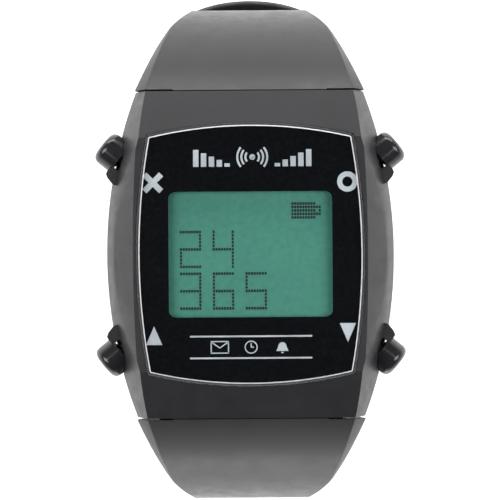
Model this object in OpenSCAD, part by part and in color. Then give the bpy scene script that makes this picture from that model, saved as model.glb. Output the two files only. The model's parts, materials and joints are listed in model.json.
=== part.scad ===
// Wrist pager: barrel case with lens, display, four buttons, moulded strap and buckle.
// +Z is the way the display faces, +Y is the twelve o'clock end, +X is the three o'clock side.
// The origin is the centre of the case back's outer face.

/* [Case] */
// Width of the case across its middle
case_width = 42.8; // [42.6:0.1:43.4]
// Height of the front plateau above the case back
case_height = 12.5; // [12.5:0.1:13]
// Radius of the case's two long side arcs
side_radius = 68; // [66:1:72]
// Height of the case's end edge beside the strap
end_edge_height = 9; // [8.9:0.1:9.2]

/* [Lens] */
// Half width of the lens
lens_half_width = 16.85; // [16.5:0.05:16.9]
// Half length of the lens
lens_half_length = 19.4; // [19:0.1:19.4]
// Width of the polished bevel round the lens
lens_bevel = 0.5; // [0.3:0.1:0.6]
// Width of the clear window in the lens mask
window_width = 24.1; // [22:0.1:25]
// Length of the clear window in the lens mask
window_length = 18.5; // [17:0.1:19]

/* [Buttons] */
// Radius of a button cap
cap_radius = 2.6; // [2.4:0.05:2.6]
// Angle between a button's axis and the case's width
button_angle = 39; // [36:1:42]
// How far a button can be pressed
button_travel = 0.8; // [0.4:0.1:0.8]

/* [Strap] */
// Half width of the strap where it meets the case
strap_root_half_width = 17.55; // [17.3:0.05:17.6]
// Half width of the strap where it is narrowest
strap_half_width = 9; // [8.5:0.1:9]
// Thickness of the thin part of the strap
strap_thickness = 2.7; // [2.4:0.1:2.8]
// Radius of the strap's moulded curve, on its outer face
strap_radius = 32.6; // [32.6:0.1:33]

/* [Hidden] */

$fn = 48;
large_arc_sides = 360;
eps = 0.01;

// Case levels, all measured up from the case back's outer face
half_width = case_width / 2;
half_length = 24.2;
facet_start_y = 17.2;
waist_low = 2.6;
waist_high = 5;
flank_lean = 0.37;
facet_radius = 250;
facet_half_width = 17.25;
facet_lean = 0.725;
ledge_low = 9.4;
ledge_high = 10.9;
cavity_half_width = 18;
cavity_half_length = 16.2;
cavity_radius = side_radius - 3;
rebate_half_width = 19.35;
rebate_half_length = 17.65;
rebate_radius = side_radius - 1.7;
back_thickness = 1.4;
window_opening_x = 14.6;
window_opening_y = 16;
window_opening_corner = 2;
guard_half_height = 2.2;
lug_root_y = 17.6;
cover_boss_height = 3.6;
cover_boss_radius = 1.5;
board_boss_radius = 1.3;

// Case cover and its seal
cover_gap = 0.05;
back_gasket_half_width = 18.7;
back_gasket_half_length = 16.9;
back_gasket_width = 0.5;
back_gasket_height = 0.3;
back_gasket_gap = 0.04;
contact_x = 3;
contact_y = 10;
contact_radius = 0.9;

// Strap joints
pin_y = 23;
pin_z = 4.7;
pin_radius = 0.75;
running_gap = 0.08;
nose_radius = 3.4;
recess_radius = 3.95;
lug_x = 11.6;
lug_thickness = 1.8;
lug_radius = 2.4;
lug_gap = 0.3;
tongue_half_width = lug_x - lug_gap;
shoulder_gap = 0.32;
shoulder_reach = 10;

// Lens stack
lens_bottom = 11.2;
lens_top = 13.1;
mark_thickness = 0.04;
mask_thickness = 0.1;
lens_side_radius = 95;
lens_end_radius = 65;
window_corner = 1.1;

// Buttons, measured inward along each button's axis from the middle of its outer face
button_x = 21.9;
button_y = 16.5;
button_z = 4.9;
cap_length = 3.4;
cap_hollow_start = 1.5;
cap_hollow_radius = 1.55;
cap_rounding = 1.1;
pocket_radius = 2.75;
pocket_end = 4.3;
bush_end = 7.4;
bush_radius = 1.6;
stem_radius = 0.7;
stem_start = 0.6;
stem_end = 9.45;
clip_start = 7.5;
clip_thickness = 0.4;
switch_start = 10.6;

// Board stack
board_low = 6.3;
board_high = 7.1;
board_screw_x = 16.2;
board_screw_y = 7.5;
cover_screw_x = 14.4;
cover_screw_y = 15.3;
motor_y = 12.9;
motor_z = 3.95;

// Strap path: an arc, then a straight run to the buckle, or a tighter arc to the tip
path_centre_y = 5.7;
path_centre_z = -18.6;
path_start = 55;
straight_start = -25;
straight_length = 19.2;
tail_radius = 27;
tail_length = 25;
upper_arc_length = strap_radius * (path_start - straight_start) * PI / 180;
lower_arc_length = strap_radius * (path_start + 90) * PI / 180;
upper_length = upper_arc_length + straight_length;
lower_length = lower_arc_length + tail_length;
strap_step = 2.4;
tip_length = 9;
root_extra_thickness = 3.8;
root_fade = 9;
taper_slope = 0.345;
bevel_length = 16;
hole_radius = 1.1;
hole_count = 7;
hole_spacing = 6;
first_hole = lower_length - 12;

// Keepers and buckle
keeper_width = 5;
fixed_keeper_at = 47;
fixed_keeper_reach = 12.2;
fixed_keeper_rise = 6.3;
fixed_keeper_wall = 0.9;
fixed_keeper_half_width = 11;
fixed_keeper_opening = 9.5;
fixed_keeper_foot = 2.2;
free_keeper_at = 55.3;
free_keeper_rise = 3.2;
free_keeper_wall = 1.1;
free_keeper_gap = 0.25;
eye_radius = 1.9;
eye_half_length = 8.8;
fork_half_width = 1.5;
fork_depth = 6;
buckle_tilt = 5;
buckle_length = 12.4;
buckle_inner = 9.35;
buckle_outer = 11;
buckle_half_thickness = 0.9;
outer_bar = 1.9;
prong_half_width = 0.9;
prong_thickness = 0.8;

// Strap path functions, for the half that leaves the twelve o'clock end.
// tight is false for the buckle half and true for the half with the tip.
function arc_angle(s) = path_start - s / strap_radius * 180 / PI;
function tail_angle(s) = -90 - (s - lower_arc_length) / tail_radius * 180 / PI;
function face_angle(s, tight) =
    tight ? (s <= lower_arc_length ? arc_angle(s) : tail_angle(s))
          : max(arc_angle(s), straight_start);
function on_arc(angle, radius, rise) =
    [path_centre_y + radius * cos(angle), path_centre_z + rise + radius * sin(angle)];
function outer_point(s, tight) =
    tight ? (s <= lower_arc_length
                 ? on_arc(arc_angle(s), strap_radius, 0)
                 : on_arc(tail_angle(s), tail_radius, tail_radius - strap_radius))
          : (s <= upper_arc_length
                 ? on_arc(arc_angle(s), strap_radius, 0)
                 : on_arc(straight_start, strap_radius, 0)
                       + (s - upper_arc_length) * [sin(straight_start), -cos(straight_start)]);

// Strap section functions
function extra_width(s) =
    let (slope_line = strap_root_half_width - strap_half_width - taper_slope * s)
    (slope_line + sqrt(pow(slope_line, 2) + 1)) / 2;
function tip_factor(s, tight) =
    tight && s > lower_length - tip_length
        ? sqrt(max(0.04, 1 - pow((s - lower_length + tip_length) / tip_length, 2)))
        : 1;
function strap_width_at(s, tight) =
    (strap_half_width + extra_width(s)) * tip_factor(s, tight);
function strap_depth_at(s) = strap_thickness + root_extra_thickness * exp(-pow(s / root_fade, 2));
function bevel_at(s) = 0.3 + 1.9 * max(0, 1 - s / bevel_length);
function strap_section(s, tight) =
    let (w = strap_width_at(s, tight), t = strap_depth_at(s), b = bevel_at(s), edge = 0.5)
    [[b - w, 0], [-w, b * 0.9], [-w, t - edge], [edge - w, t],
     [w - edge, t], [w, t - edge], [w, b * 0.9], [w - b, 0]];
function strap_ring(s, tight) =
    let (angle = face_angle(s, tight), p = outer_point(s, tight))
    [for (q = strap_section(s, tight)) [q[0], p[0] - q[1] * cos(angle), p[1] - q[1] * sin(angle)]];

// Flat-sided sweep through a list of rings with the same number of points
module sweep(rings) {
    count = len(rings);
    sides = len(rings[0]);
    walls = [for (i = [0 : count - 2]) for (j = [0 : sides - 1])
        let (a = i * sides + j, b = i * sides + (j + 1) % sides)
        for (triangle = [[a, b, b + sides], [a, b + sides, a + sides]]) triangle];
    start_cap = [for (j = [sides - 1 : -1 : 0]) j];
    end_cap = [for (j = [0 : sides - 1]) (count - 1) * sides + j];
    polyhedron([for (ring = rings) for (point = ring) point], concat(walls, [start_cap, end_cap]));
}

module on_strap(s, tight) {
    p = outer_point(s, tight);
    translate([0, p[0], p[1]]) rotate([face_angle(s, tight), 0, 0]) children();
}

module strap_band(length, tight) {
    steps = ceil(length / strap_step);
    sweep([for (i = [0 : steps]) strap_ring(i * length / steps, tight)]);
}

// Rod along X, centred on the case's middle plane
module cross_rod(radius, length, y, z) {
    translate([-length / 2, y, z]) rotate([0, 90, 0]) cylinder(h = length, r = radius);
}

module corner(sx, sy) {
    mirror([sx < 0 ? 1 : 0, 0, 0]) mirror([0, sy < 0 ? 1 : 0, 0]) children();
}

module each_corner() {
    for (sx = [-1, 1]) for (sy = [-1, 1]) corner(sx, sy) children();
}

module button_axis() {
    translate([button_x, button_y, button_z]) rotate([0, 90, 180 + button_angle]) children();
}

module axis_rod(radius, start, end) {
    translate([0, 0, start]) cylinder(h = end - start, r = radius);
}

module rounded_plate(x, y, low, high, corner_radius) {
    translate([-x, -y + corner_radius, low]) cube([2 * x, 2 * y - 2 * corner_radius, high - low]);
    translate([-x + corner_radius, -y, low]) cube([2 * x - 2 * corner_radius, 2 * y, high - low]);
    for (sx = [-1, 1]) for (sy = [-1, 1])
        translate([sx * (x - corner_radius), sy * (y - corner_radius), low])
            cylinder(h = high - low, r = corner_radius);
}

// Barrel outline between two large arcs, with flat ends
module barrel(x, y, radius, low, high) {
    intersection() {
        arc_disc(x, radius, low, high, 1);
        arc_disc(x, radius, low, high, -1);
        translate([-x - 1, -y, low]) cube([2 * x + 2, 2 * y, high - low]);
    }
}

module arc_disc(x, radius, low, high, side) {
    translate([side * (x - radius), 0, low])
        cylinder(h = high - low, r = radius, $fn = large_arc_sides);
}

// One side of the case outside: a chamfered foot, a waist and a leaning flank
module flank_body(side) {
    top_radius = side_radius - flank_lean * (case_height - waist_high);
    translate([side * (half_width - side_radius), 0, 0])
        rotate_extrude($fn = large_arc_sides)
            polygon([[0, 0], [side_radius - 0.8, 0], [side_radius - 0.2, 1.2], [side_radius, waist_low],
                     [side_radius, waist_high], [top_radius, case_height], [0, case_height]]);
}

// One sloping side facet, bounded above by the lens plateau
module facet_body(side) {
    translate([side * (facet_half_width - facet_radius), 0, 0])
        cylinder(h = case_height, r1 = facet_radius + facet_lean * case_height, r2 = facet_radius,
                 $fn = 2 * large_arc_sides);
}

module case_ends() {
    rotate([90, 0, 90])
        linear_extrude(height = case_width + 2, center = true)
            polygon([[-18.6, 0], [18.6, 0], [20.4, 2], [half_length, 2],
                     [half_length, end_edge_height], [facet_start_y, case_height],
                     [-facet_start_y, case_height], [-half_length, end_edge_height],
                     [-half_length, 2], [-20.4, 2]]);
}

module lens_body(x, y, low, high, bevel) {
    side_profile = [[0, low], [lens_side_radius, low], [lens_side_radius, high - bevel],
                    [lens_side_radius - bevel, high], [0, high]];
    end_profile = [[0, low], [lens_end_radius, low], [lens_end_radius, high - bevel],
                   [lens_end_radius - bevel, high], [0, high]];
    intersection() {
        translate([x - lens_side_radius, 0, 0])
            rotate_extrude($fn = large_arc_sides) polygon(side_profile);
        translate([lens_side_radius - x, 0, 0])
            rotate_extrude($fn = large_arc_sides) polygon(side_profile);
        translate([0, y - lens_end_radius, 0])
            rotate_extrude($fn = large_arc_sides) polygon(end_profile);
        translate([0, lens_end_radius - y, 0])
            rotate_extrude($fn = large_arc_sides) polygon(end_profile);
    }
}

// Wedge that shields a button on the side away from the strap
module button_guard() {
    translate([0, 0, button_z - guard_half_height])
        linear_extrude(height = 2 * guard_half_height)
            polygon([[17.5, 9.6], [20.4, 10.5], [21.2, 11.5], [21.4, 12.1], [21.1, 12.7], [19.8, 13.4],
                     [17.5, 13.4]]);
}

module lugs() {
    for (sx = [-1, 1]) for (sy = [-1, 1])
        translate([sx * (lug_x + lug_thickness / 2) - lug_thickness / 2, 0, pin_z]) {
            translate([0, sy * pin_y, 0]) rotate([0, 90, 0]) cylinder(h = lug_thickness, r = lug_radius);
            translate([0, sy > 0 ? lug_root_y : -pin_y, -lug_radius])
                cube([lug_thickness, pin_y - lug_root_y, 2 * lug_radius]);
        }
}

module case_shell() {
    color([0.3, 0.3, 0.32]) difference() {
        union() {
            difference() {
                union() {
                    intersection() {
                        flank_body(1);
                        flank_body(-1);
                        facet_body(1);
                        facet_body(-1);
                        case_ends();
                    }
                    each_corner() button_guard();
                }
                for (sy = [-1, 1]) cross_rod(recess_radius, 2 * lug_x, sy * pin_y, pin_z);
                barrel(cavity_half_width, cavity_half_length, cavity_radius, -1, ledge_low);
            }
            lugs();
            each_corner() translate([cover_screw_x, cover_screw_y, back_thickness])
                cylinder(h = cover_boss_height, r = cover_boss_radius);
            each_corner() translate([board_screw_x, board_screw_y, board_high])
                cylinder(h = ledge_low - board_high + eps, r = board_boss_radius);
        }
        barrel(rebate_half_width, rebate_half_length, rebate_radius, -1, back_thickness);
        rounded_plate(window_opening_x, window_opening_y, ledge_low - 1, lens_bottom, window_opening_corner);
        lens_body(lens_half_width + 0.06, lens_half_length + 0.06, ledge_high, lens_top, 0);
        each_corner() {
            button_axis() {
                axis_rod(pocket_radius, -3, pocket_end);
                axis_rod(bush_radius, 0, bush_end);
            }
            translate([cover_screw_x, cover_screw_y, 1]) cylinder(h = cover_boss_height, r = 0.6);
            translate([board_screw_x, board_screw_y, board_high - 1]) cylinder(h = 3, r = 0.5);
        }
        for (sy = [-1, 1]) cross_rod(pin_radius, 2 * (lug_x + lug_thickness), sy * pin_y, pin_z);
    }
}

module case_back() {
    color([0.22, 0.22, 0.24]) difference() {
        barrel(rebate_half_width - cover_gap, rebate_half_length - cover_gap, rebate_radius - cover_gap,
               0, back_thickness);
        each_corner() translate([cover_screw_x, cover_screw_y, -1]) {
            cylinder(h = 1.7, r = 1.1);
            cylinder(h = 4, r = 0.7);
        }
        for (sx = [-1, 1]) translate([sx * contact_x, contact_y, -1]) cylinder(h = 4, r = contact_radius);
        gasket_ring(back_gasket_gap, 1);
    }
}

// Ring on the cover's inner face, grown on both sides to cut its groove
module gasket_ring(grow, height) {
    low = back_thickness - back_gasket_height;
    inner_x = back_gasket_half_width - back_gasket_width - grow;
    inner_y = back_gasket_half_length - back_gasket_width - grow;
    difference() {
        barrel(back_gasket_half_width + grow, back_gasket_half_length + grow, side_radius - 2.3,
               low, low + height);
        barrel(inner_x, inner_y, side_radius - 2.8, low - 1, low + height + 1);
    }
}

module case_back_gasket() {
    color([0.1, 0.1, 0.1]) gasket_ring(0, back_gasket_height);
}

module case_back_screws() {
    color("silver") each_corner() translate([cover_screw_x, cover_screw_y, 0.05]) difference() {
        union() {
            cylinder(h = 0.6, r = 1);
            cylinder(h = 4, r = 0.58);
        }
        for (turn = [0, 90]) rotate([0, 0, turn]) translate([-0.6, -0.12, -0.1]) cube([1.2, 0.24, 0.35]);
    }
}

module lens() {
    color([0.75, 0.8, 0.85, 0.4])
        lens_body(lens_half_width, lens_half_length, lens_bottom, lens_top, lens_bevel);
}

module lens_mask() {
    top = lens_bottom - mark_thickness;
    color([0.04, 0.05, 0.06]) difference() {
        lens_body(lens_half_width - 0.15, lens_half_length - 0.15, top - mask_thickness, top, 0);
        rounded_plate(window_width / 2, window_length / 2, top - 1, top + 1, window_corner);
    }
}

// Flat printed signs: a cross, a ring, two triangles and two rules
module printed_marks() {
    rule_half_length = 8.98;
    color([0.84, 0.86, 0.88]) translate([0, 0, lens_bottom - mark_thickness])
        linear_extrude(height = mark_thickness) {
            translate([-14.3, 10.6]) for (turn = [45, 135]) rotate(turn) square([3.5, 0.85], center = true);
            translate([14.3, 10.6]) difference() {
                circle(r = 1.5);
                circle(r = 0.75);
            }
            translate([-14.25, -11.9]) polygon([[-1.2, -1.35], [1.2, -1.35], [0, 1.4]]);
            translate([14.25, -11.6]) polygon([[-1.2, 1.4], [1.2, 1.4], [0, -1.4]]);
            for (y = [-12.05, -15.25]) translate([0, y]) square([2 * rule_half_length, 0.25], center = true);
        }
}

module lens_gasket() {
    top = lens_bottom - mark_thickness - mask_thickness;
    color([0.1, 0.1, 0.1]) difference() {
        lens_body(lens_half_width - 0.25, lens_half_length - 0.25, ledge_high, top, 0);
        rounded_plate(window_opening_x + 0.2, window_opening_y + 0.2, ledge_high - 1, top + 1,
                      window_opening_corner);
    }
}

// Two bonded plates: the upper one overhangs so that its pads face the contact strips
module display_glass() {
    color([0.45, 0.6, 0.55]) union() {
        translate([-13.5, -10, 8.2]) cube([27, 20, 0.8]);
        translate([-13.5, -11.4, 9]) cube([27, 22.8, 0.8]);
    }
}

module display_backlight() {
    color([0.9, 0.92, 0.9]) translate([-13.3, -9.9, 7.2]) cube([26.6, 19.8, 0.95]);
}

module display_holder() {
    color([0.85, 0.85, 0.8]) difference() {
        rounded_plate(14.2, 12.4, board_high, 9.6, 0.6);
        translate([-13.55, -11.45, board_high - 1]) cube([27.1, 22.9, 4]);
    }
}

module contact_strips() {
    color([0.75, 0.35, 0.4]) for (side = [-1, 1])
        translate([-12.5, side * 10.8 - 0.45, board_high]) cube([25, 0.9, 1.9]);
}

module main_board() {
    color([0.1, 0.4, 0.2]) difference() {
        union() {
            translate([-17, -9.4, board_low]) cube([34, 18.8, board_high - board_low]);
            translate([-14.2, -15.4, board_low]) cube([28.4, 30.8, board_high - board_low]);
        }
        each_corner() translate([board_screw_x, board_screw_y, board_low - 1]) cylinder(h = 3, r = 0.6);
    }
}

module board_screws() {
    color("silver") each_corner() translate([board_screw_x, board_screw_y, board_low - 0.6]) {
        cylinder(h = 0.6, r = 0.9);
        cylinder(h = 3, r = 0.48);
    }
}

module board_chips() {
    color([0.08, 0.08, 0.09]) {
        translate([2.5, -1, board_low - 0.9]) cube([6, 6, 0.9]);
        translate([3, -9.5, board_low - 0.8]) cube([5, 4, 0.8]);
        translate([-5.5, -9.5, board_low - 0.6]) cube([4, 4, 0.6]);
    }
}

module radio_shield() {
    color([0.8, 0.8, 0.82]) difference() {
        translate([-7.5, -11.5, board_low - 0.95]) cube([8, 8, 0.95]);
        translate([-7.35, -11.35, board_low - 0.8]) cube([7.7, 7.7, 1]);
    }
}

module crystal() {
    color("silver") translate([-6, 9.35, 5.5]) rotate([0, 90, 0]) cylinder(h = 6, r = 0.75);
}

// Side-pressed switches under the board's corners, each with a small nub towards its button
module button_switches() {
    color([0.2, 0.2, 0.22]) each_corner() {
        intersection() {
            button_axis() translate([-1.8, -1.8, switch_start]) cube([3.6, 3.6, 2.2]);
            translate([0, 0, 4.2]) cube([40, 40, board_low - 4.2]);
        }
        button_axis() axis_rod(0.5, switch_start - 0.3, switch_start + eps);
    }
}

module antenna_rod() {
    color([0.15, 0.15, 0.15]) cross_rod(0.7, 18, -14.8, 3.2);
}

module antenna_winding() {
    color([0.75, 0.4, 0.2]) difference() {
        cross_rod(1.1, 14, -14.8, 3.2);
        cross_rod(0.7, 16, -14.8, 3.2);
    }
}

module battery_cell() {
    color([0.75, 0.76, 0.78]) translate([0, -2.25, 0]) rounded_plate(9.8, 10.75, 1.7, 4.9, 1.2);
}

module battery_pad() {
    color([0.3, 0.3, 0.3]) translate([-8, -11, back_thickness]) cube([16, 17, 0.3]);
}

module buzzer_disc() {
    color([0.8, 0.7, 0.4]) translate([8.2, 12, back_thickness]) union() {
        cylinder(h = 0.3, r = 3.9);
        cylinder(h = 0.6, r = 2.7);
    }
}

module motor_can() {
    color("silver") translate([-11.5, motor_y, motor_z]) rotate([0, 90, 0]) difference() {
        cylinder(h = 8, r = 1.8);
        translate([0, 0, 3]) cylinder(h = 6, r = 0.46);
    }
}

module motor_boot() {
    color([0.15, 0.15, 0.15]) translate([-10.6, motor_y, motor_z]) rotate([0, 90, 0]) difference() {
        cylinder(h = 5.6, r = 2.2);
        translate([0, 0, -1]) cylinder(h = 8, r = 1.8);
    }
}

module motor_shaft() {
    color("silver") translate([-8, motor_y, motor_z]) rotate([0, 90, 0]) cylinder(h = 8.2, r = 0.4);
}

module motor_weight() {
    color([0.5, 0.48, 0.45]) translate([-3, motor_y, motor_z]) rotate([0, 90, 0]) difference() {
        union() {
            cylinder(h = 3, r = 0.8);
            intersection() {
                cylinder(h = 3, r = 1.95);
                translate([0, -3, 0]) cube([3, 6, 3]);
            }
        }
        translate([0, 0, -1]) cylinder(h = 5, r = 0.4);
    }
}

module charge_contacts() {
    color([0.85, 0.7, 0.35]) for (sx = [-1, 1])
        translate([sx * contact_x, contact_y, 0.02]) cylinder(h = 1.7, r = contact_radius);
}

module button_bushes() {
    color("silver") each_corner() button_axis() difference() {
        axis_rod(bush_radius, pocket_end, bush_end);
        axis_rod(stem_radius + running_gap, pocket_end - 1, bush_end + 1);
        axis_rod(1.25, pocket_end + 0.8, pocket_end + 1.4);
    }
}

module button_o_rings() {
    color([0.05, 0.05, 0.05]) each_corner() button_axis()
        translate([0, 0, pocket_end + 1.1]) rotate_extrude() translate([0.98, 0]) circle(r = 0.24);
}

module button_cap() {
    color([0.12, 0.12, 0.13]) button_axis() difference() {
        rotate_extrude() union() {
            square([cap_radius - cap_rounding, cap_length]);
            translate([0, cap_rounding]) square([cap_radius, cap_length - cap_rounding]);
            translate([cap_radius - cap_rounding, cap_rounding]) circle(r = cap_rounding);
        }
        axis_rod(cap_hollow_radius, cap_hollow_start, cap_length + 1);
        axis_rod(stem_radius, stem_start, cap_length);
    }
}

module button_stem() {
    color("silver") button_axis() difference() {
        axis_rod(stem_radius, stem_start, stem_end);
        difference() {
            axis_rod(1, clip_start, clip_start + clip_thickness);
            axis_rod(0.5, clip_start - 1, clip_start + 1);
        }
    }
}

// C-shaped clip in the stem's groove
module button_clip() {
    color([0.4, 0.4, 0.42]) button_axis() difference() {
        axis_rod(1.45, clip_start + 0.02, clip_start + clip_thickness - 0.02);
        axis_rod(0.5, clip_start - 1, clip_start + 1);
        translate([0, -0.45, clip_start - 1]) cube([3, 0.9, 2]);
    }
}

// Compression spring between the cap's hollow and the floor of the case pocket
module button_spring() {
    wire = 0.17;
    coil_radius = 1.13;
    turns = 4.5;
    low = cap_hollow_start + wire + 0.04;
    high = pocket_end - wire - 0.04;
    steps = 63;
    color("silver") button_axis() sweep([for (i = [0 : steps])
        let (turn = 360 * turns * i / steps, z = low + (high - low) * i / steps)
        [for (a = [0 : 60 : 300])
            [(coil_radius + wire * cos(a)) * cos(turn), (coil_radius + wire * cos(a)) * sin(turn),
             z + wire * sin(a)]]]);
}

module lug_pin() {
    color("silver") cross_rod(pin_radius, 2 * (lug_x + lug_thickness), pin_y, pin_z);
}

// Block that clears one shoulder of the strap from the end of the case
module shoulder_cut(side) {
    translate([side > 0 ? tongue_half_width : -tongue_half_width - shoulder_reach,
               half_length + shoulder_gap - shoulder_reach, -shoulder_reach])
        cube([shoulder_reach, shoulder_reach, case_height + shoulder_reach]);
}

// Round tongue of the strap that turns in the case's recess, between shoulders beside the lugs
module strap_with_tongue(length, tight) {
    difference() {
        union() {
            strap_band(length, tight);
            cross_rod(nose_radius, 2 * tongue_half_width + 0.4, pin_y, pin_z);
        }
        for (side = [-1, 1]) {
            shoulder_cut(side);
            translate([side * (lug_x + lug_thickness / 2), 0, 0])
                cross_rod(lug_radius + lug_gap, lug_thickness + 2 * lug_gap, pin_y, pin_z);
        }
        cross_rod(pin_radius + running_gap, 2 * lug_x, pin_y, pin_z);
    }
}

function buckle_pin_place() =
    outer_point(upper_length, false)
    - strap_thickness / 2 * [cos(straight_start), sin(straight_start)];

// Arch of an ellipse about the strap's outer face, cut off at half_width on both sides
function arch(reach, rise, half_width, steps) =
    let (start = acos(half_width / reach))
    [for (i = [0 : steps]) let (a = start + (180 - 2 * start) * i / steps) [reach * cos(a), rise * sin(a)]];

module fixed_keeper() {
    w = fixed_keeper_half_width;
    outer = arch(fixed_keeper_reach, fixed_keeper_rise, w, 20);
    inner = arch(fixed_keeper_reach - fixed_keeper_wall, fixed_keeper_rise - fixed_keeper_wall,
                 fixed_keeper_opening, 20);
    foot = strap_half_width - 0.4;
    on_strap(fixed_keeper_at, false) linear_extrude(height = keeper_width, center = true) difference() {
        polygon(concat(outer, [[-w, 0], [-foot, -fixed_keeper_foot], [foot, -fixed_keeper_foot], [w, 0]]));
        polygon(concat(inner, [[-fixed_keeper_opening, 0], [fixed_keeper_opening, 0]]));
        translate([-foot, -fixed_keeper_foot - 1]) square([2 * foot, fixed_keeper_foot + 1.2]);
    }
}

module upper_strap() {
    p = buckle_pin_place();
    color([0.4, 0.4, 0.42]) difference() {
        union() {
            strap_with_tongue(upper_length, false);
            fixed_keeper();
            cross_rod(eye_radius, 2 * eye_half_length, p[0], p[1]);
        }
        on_strap(upper_length, false) translate([-fork_half_width, -8, -4])
            cube([2 * fork_half_width, 12, fork_depth + 4]);
        cross_rod(pin_radius + running_gap, 2 * strap_half_width + 1, p[0], p[1]);
    }
}

module lower_strap() {
    color([0.4, 0.4, 0.42]) mirror([0, 1, 0]) difference() {
        strap_with_tongue(lower_length, true);
        for (i = [0 : hole_count - 1]) on_strap(first_hole - i * hole_spacing, true)
            translate([0, 2, 0]) rotate([90, 0, 0]) cylinder(h = 8, r = hole_radius);
    }
}

module at_buckle() {
    p = buckle_pin_place();
    translate([0, p[0], p[1]]) rotate([180 + buckle_tilt, 0, 0]) children();
}

module buckle_pin() {
    p = buckle_pin_place();
    color("silver") cross_rod(pin_radius, 2 * buckle_outer - 0.6, p[0], p[1]);
}

module buckle_frame() {
    t = buckle_half_thickness;
    color([0.6, 0.6, 0.62]) at_buckle() difference() {
        union() {
            for (side = [-1, 1]) {
                translate([side > 0 ? buckle_inner : -buckle_outer, 0, -t])
                    cube([buckle_outer - buckle_inner, buckle_length, 2 * t]);
                translate([side > 0 ? buckle_inner : -buckle_outer, 0, 0]) rotate([0, 90, 0])
                    cylinder(h = buckle_outer - buckle_inner, r = 1.6);
            }
            translate([-buckle_outer, buckle_length - outer_bar, -t])
                cube([2 * buckle_outer, outer_bar, 2 * t]);
        }
        cross_rod(pin_radius, 30, 0, 0);
        translate([-prong_half_width - 0.25, buckle_length - 4, 0.02])
            cube([2 * prong_half_width + 0.5, 8, 4]);
    }
}

module buckle_prong() {
    color("silver") at_buckle() difference() {
        union() {
            cross_rod(1.45, 2 * prong_half_width + 0.6, 0, 0);
            translate([-prong_half_width, 0, 0.06])
                cube([2 * prong_half_width, buckle_length + 0.1, prong_thickness]);
        }
        cross_rod(pin_radius + running_gap, 10, 0, 0);
    }
}

module free_keeper() {
    inner_x = strap_half_width + free_keeper_gap;
    inner_low = -strap_thickness - free_keeper_gap;
    inner_rise = free_keeper_rise - inner_low;
    color([0.3, 0.3, 0.32]) on_strap(free_keeper_at, false)
        linear_extrude(height = keeper_width, center = true) difference() {
            translate([-inner_x - free_keeper_wall, inner_low - free_keeper_wall])
                square([2 * (inner_x + free_keeper_wall), inner_rise + 2 * free_keeper_wall]);
            translate([-inner_x, inner_low]) square([2 * inner_x, inner_rise]);
        }
}

case_shell();
case_back();
case_back_gasket();
case_back_screws();
lens();
lens_mask();
printed_marks();
lens_gasket();
display_glass();
display_backlight();
display_holder();
contact_strips();
main_board();
board_screws();
board_chips();
radio_shield();
crystal();
button_switches();
antenna_rod();
antenna_winding();
battery_cell();
battery_pad();
buzzer_disc();
motor_can();
motor_boot();
motor_shaft();
motor_weight();
charge_contacts();
button_bushes();
button_o_rings();
corner(-1, 1) button_cap();  // button_cap_upper_left
corner(1, 1) button_cap();  // button_cap_upper_right
corner(-1, -1) button_cap();  // button_cap_lower_left
corner(1, -1) button_cap();  // button_cap_lower_right
corner(-1, 1) button_stem();  // button_stem_upper_left
corner(1, 1) button_stem();  // button_stem_upper_right
corner(-1, -1) button_stem();  // button_stem_lower_left
corner(1, -1) button_stem();  // button_stem_lower_right
corner(-1, 1) button_clip();  // button_clip_upper_left
corner(1, 1) button_clip();  // button_clip_upper_right
corner(-1, -1) button_clip();  // button_clip_lower_left
corner(1, -1) button_clip();  // button_clip_lower_right
corner(-1, 1) button_spring();  // button_spring_upper_left
corner(1, 1) button_spring();  // button_spring_upper_right
corner(-1, -1) button_spring();  // button_spring_lower_left
corner(1, -1) button_spring();  // button_spring_lower_right
lug_pin();  // upper_lug_pin
mirror([0, 1, 0]) lug_pin();  // lower_lug_pin
upper_strap();
lower_strap();
buckle_pin();
buckle_frame();
buckle_prong();
free_keeper();
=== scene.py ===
"""Looks of the wrist pager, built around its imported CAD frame."""
import json
import math

import bmesh
import bpy
from mathutils import Matrix, Vector


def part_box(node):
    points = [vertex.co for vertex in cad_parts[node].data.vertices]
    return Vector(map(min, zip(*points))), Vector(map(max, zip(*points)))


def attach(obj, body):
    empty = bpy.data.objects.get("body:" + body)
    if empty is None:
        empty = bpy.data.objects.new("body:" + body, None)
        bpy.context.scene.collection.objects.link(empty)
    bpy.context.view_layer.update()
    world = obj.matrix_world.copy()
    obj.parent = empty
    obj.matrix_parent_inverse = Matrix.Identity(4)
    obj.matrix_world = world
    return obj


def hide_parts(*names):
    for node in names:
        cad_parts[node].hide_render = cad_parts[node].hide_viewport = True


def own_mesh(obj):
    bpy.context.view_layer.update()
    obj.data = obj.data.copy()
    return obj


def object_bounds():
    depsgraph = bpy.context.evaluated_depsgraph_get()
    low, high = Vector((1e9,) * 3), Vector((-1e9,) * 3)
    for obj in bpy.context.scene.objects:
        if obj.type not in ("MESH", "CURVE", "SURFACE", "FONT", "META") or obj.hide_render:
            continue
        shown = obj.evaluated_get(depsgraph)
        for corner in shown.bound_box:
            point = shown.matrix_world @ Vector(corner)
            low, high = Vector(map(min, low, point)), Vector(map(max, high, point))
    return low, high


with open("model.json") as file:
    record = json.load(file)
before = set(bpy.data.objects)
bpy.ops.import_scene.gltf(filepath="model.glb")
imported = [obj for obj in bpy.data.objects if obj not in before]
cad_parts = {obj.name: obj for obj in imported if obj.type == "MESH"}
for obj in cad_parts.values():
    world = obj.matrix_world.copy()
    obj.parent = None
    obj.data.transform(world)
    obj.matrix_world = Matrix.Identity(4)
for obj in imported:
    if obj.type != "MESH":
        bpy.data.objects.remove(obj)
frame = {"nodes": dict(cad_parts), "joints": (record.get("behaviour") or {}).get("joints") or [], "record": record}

CAD_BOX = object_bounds()
MM = 0.001
JOINTS = {joint["name"]: joint for joint in frame["joints"]}
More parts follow.
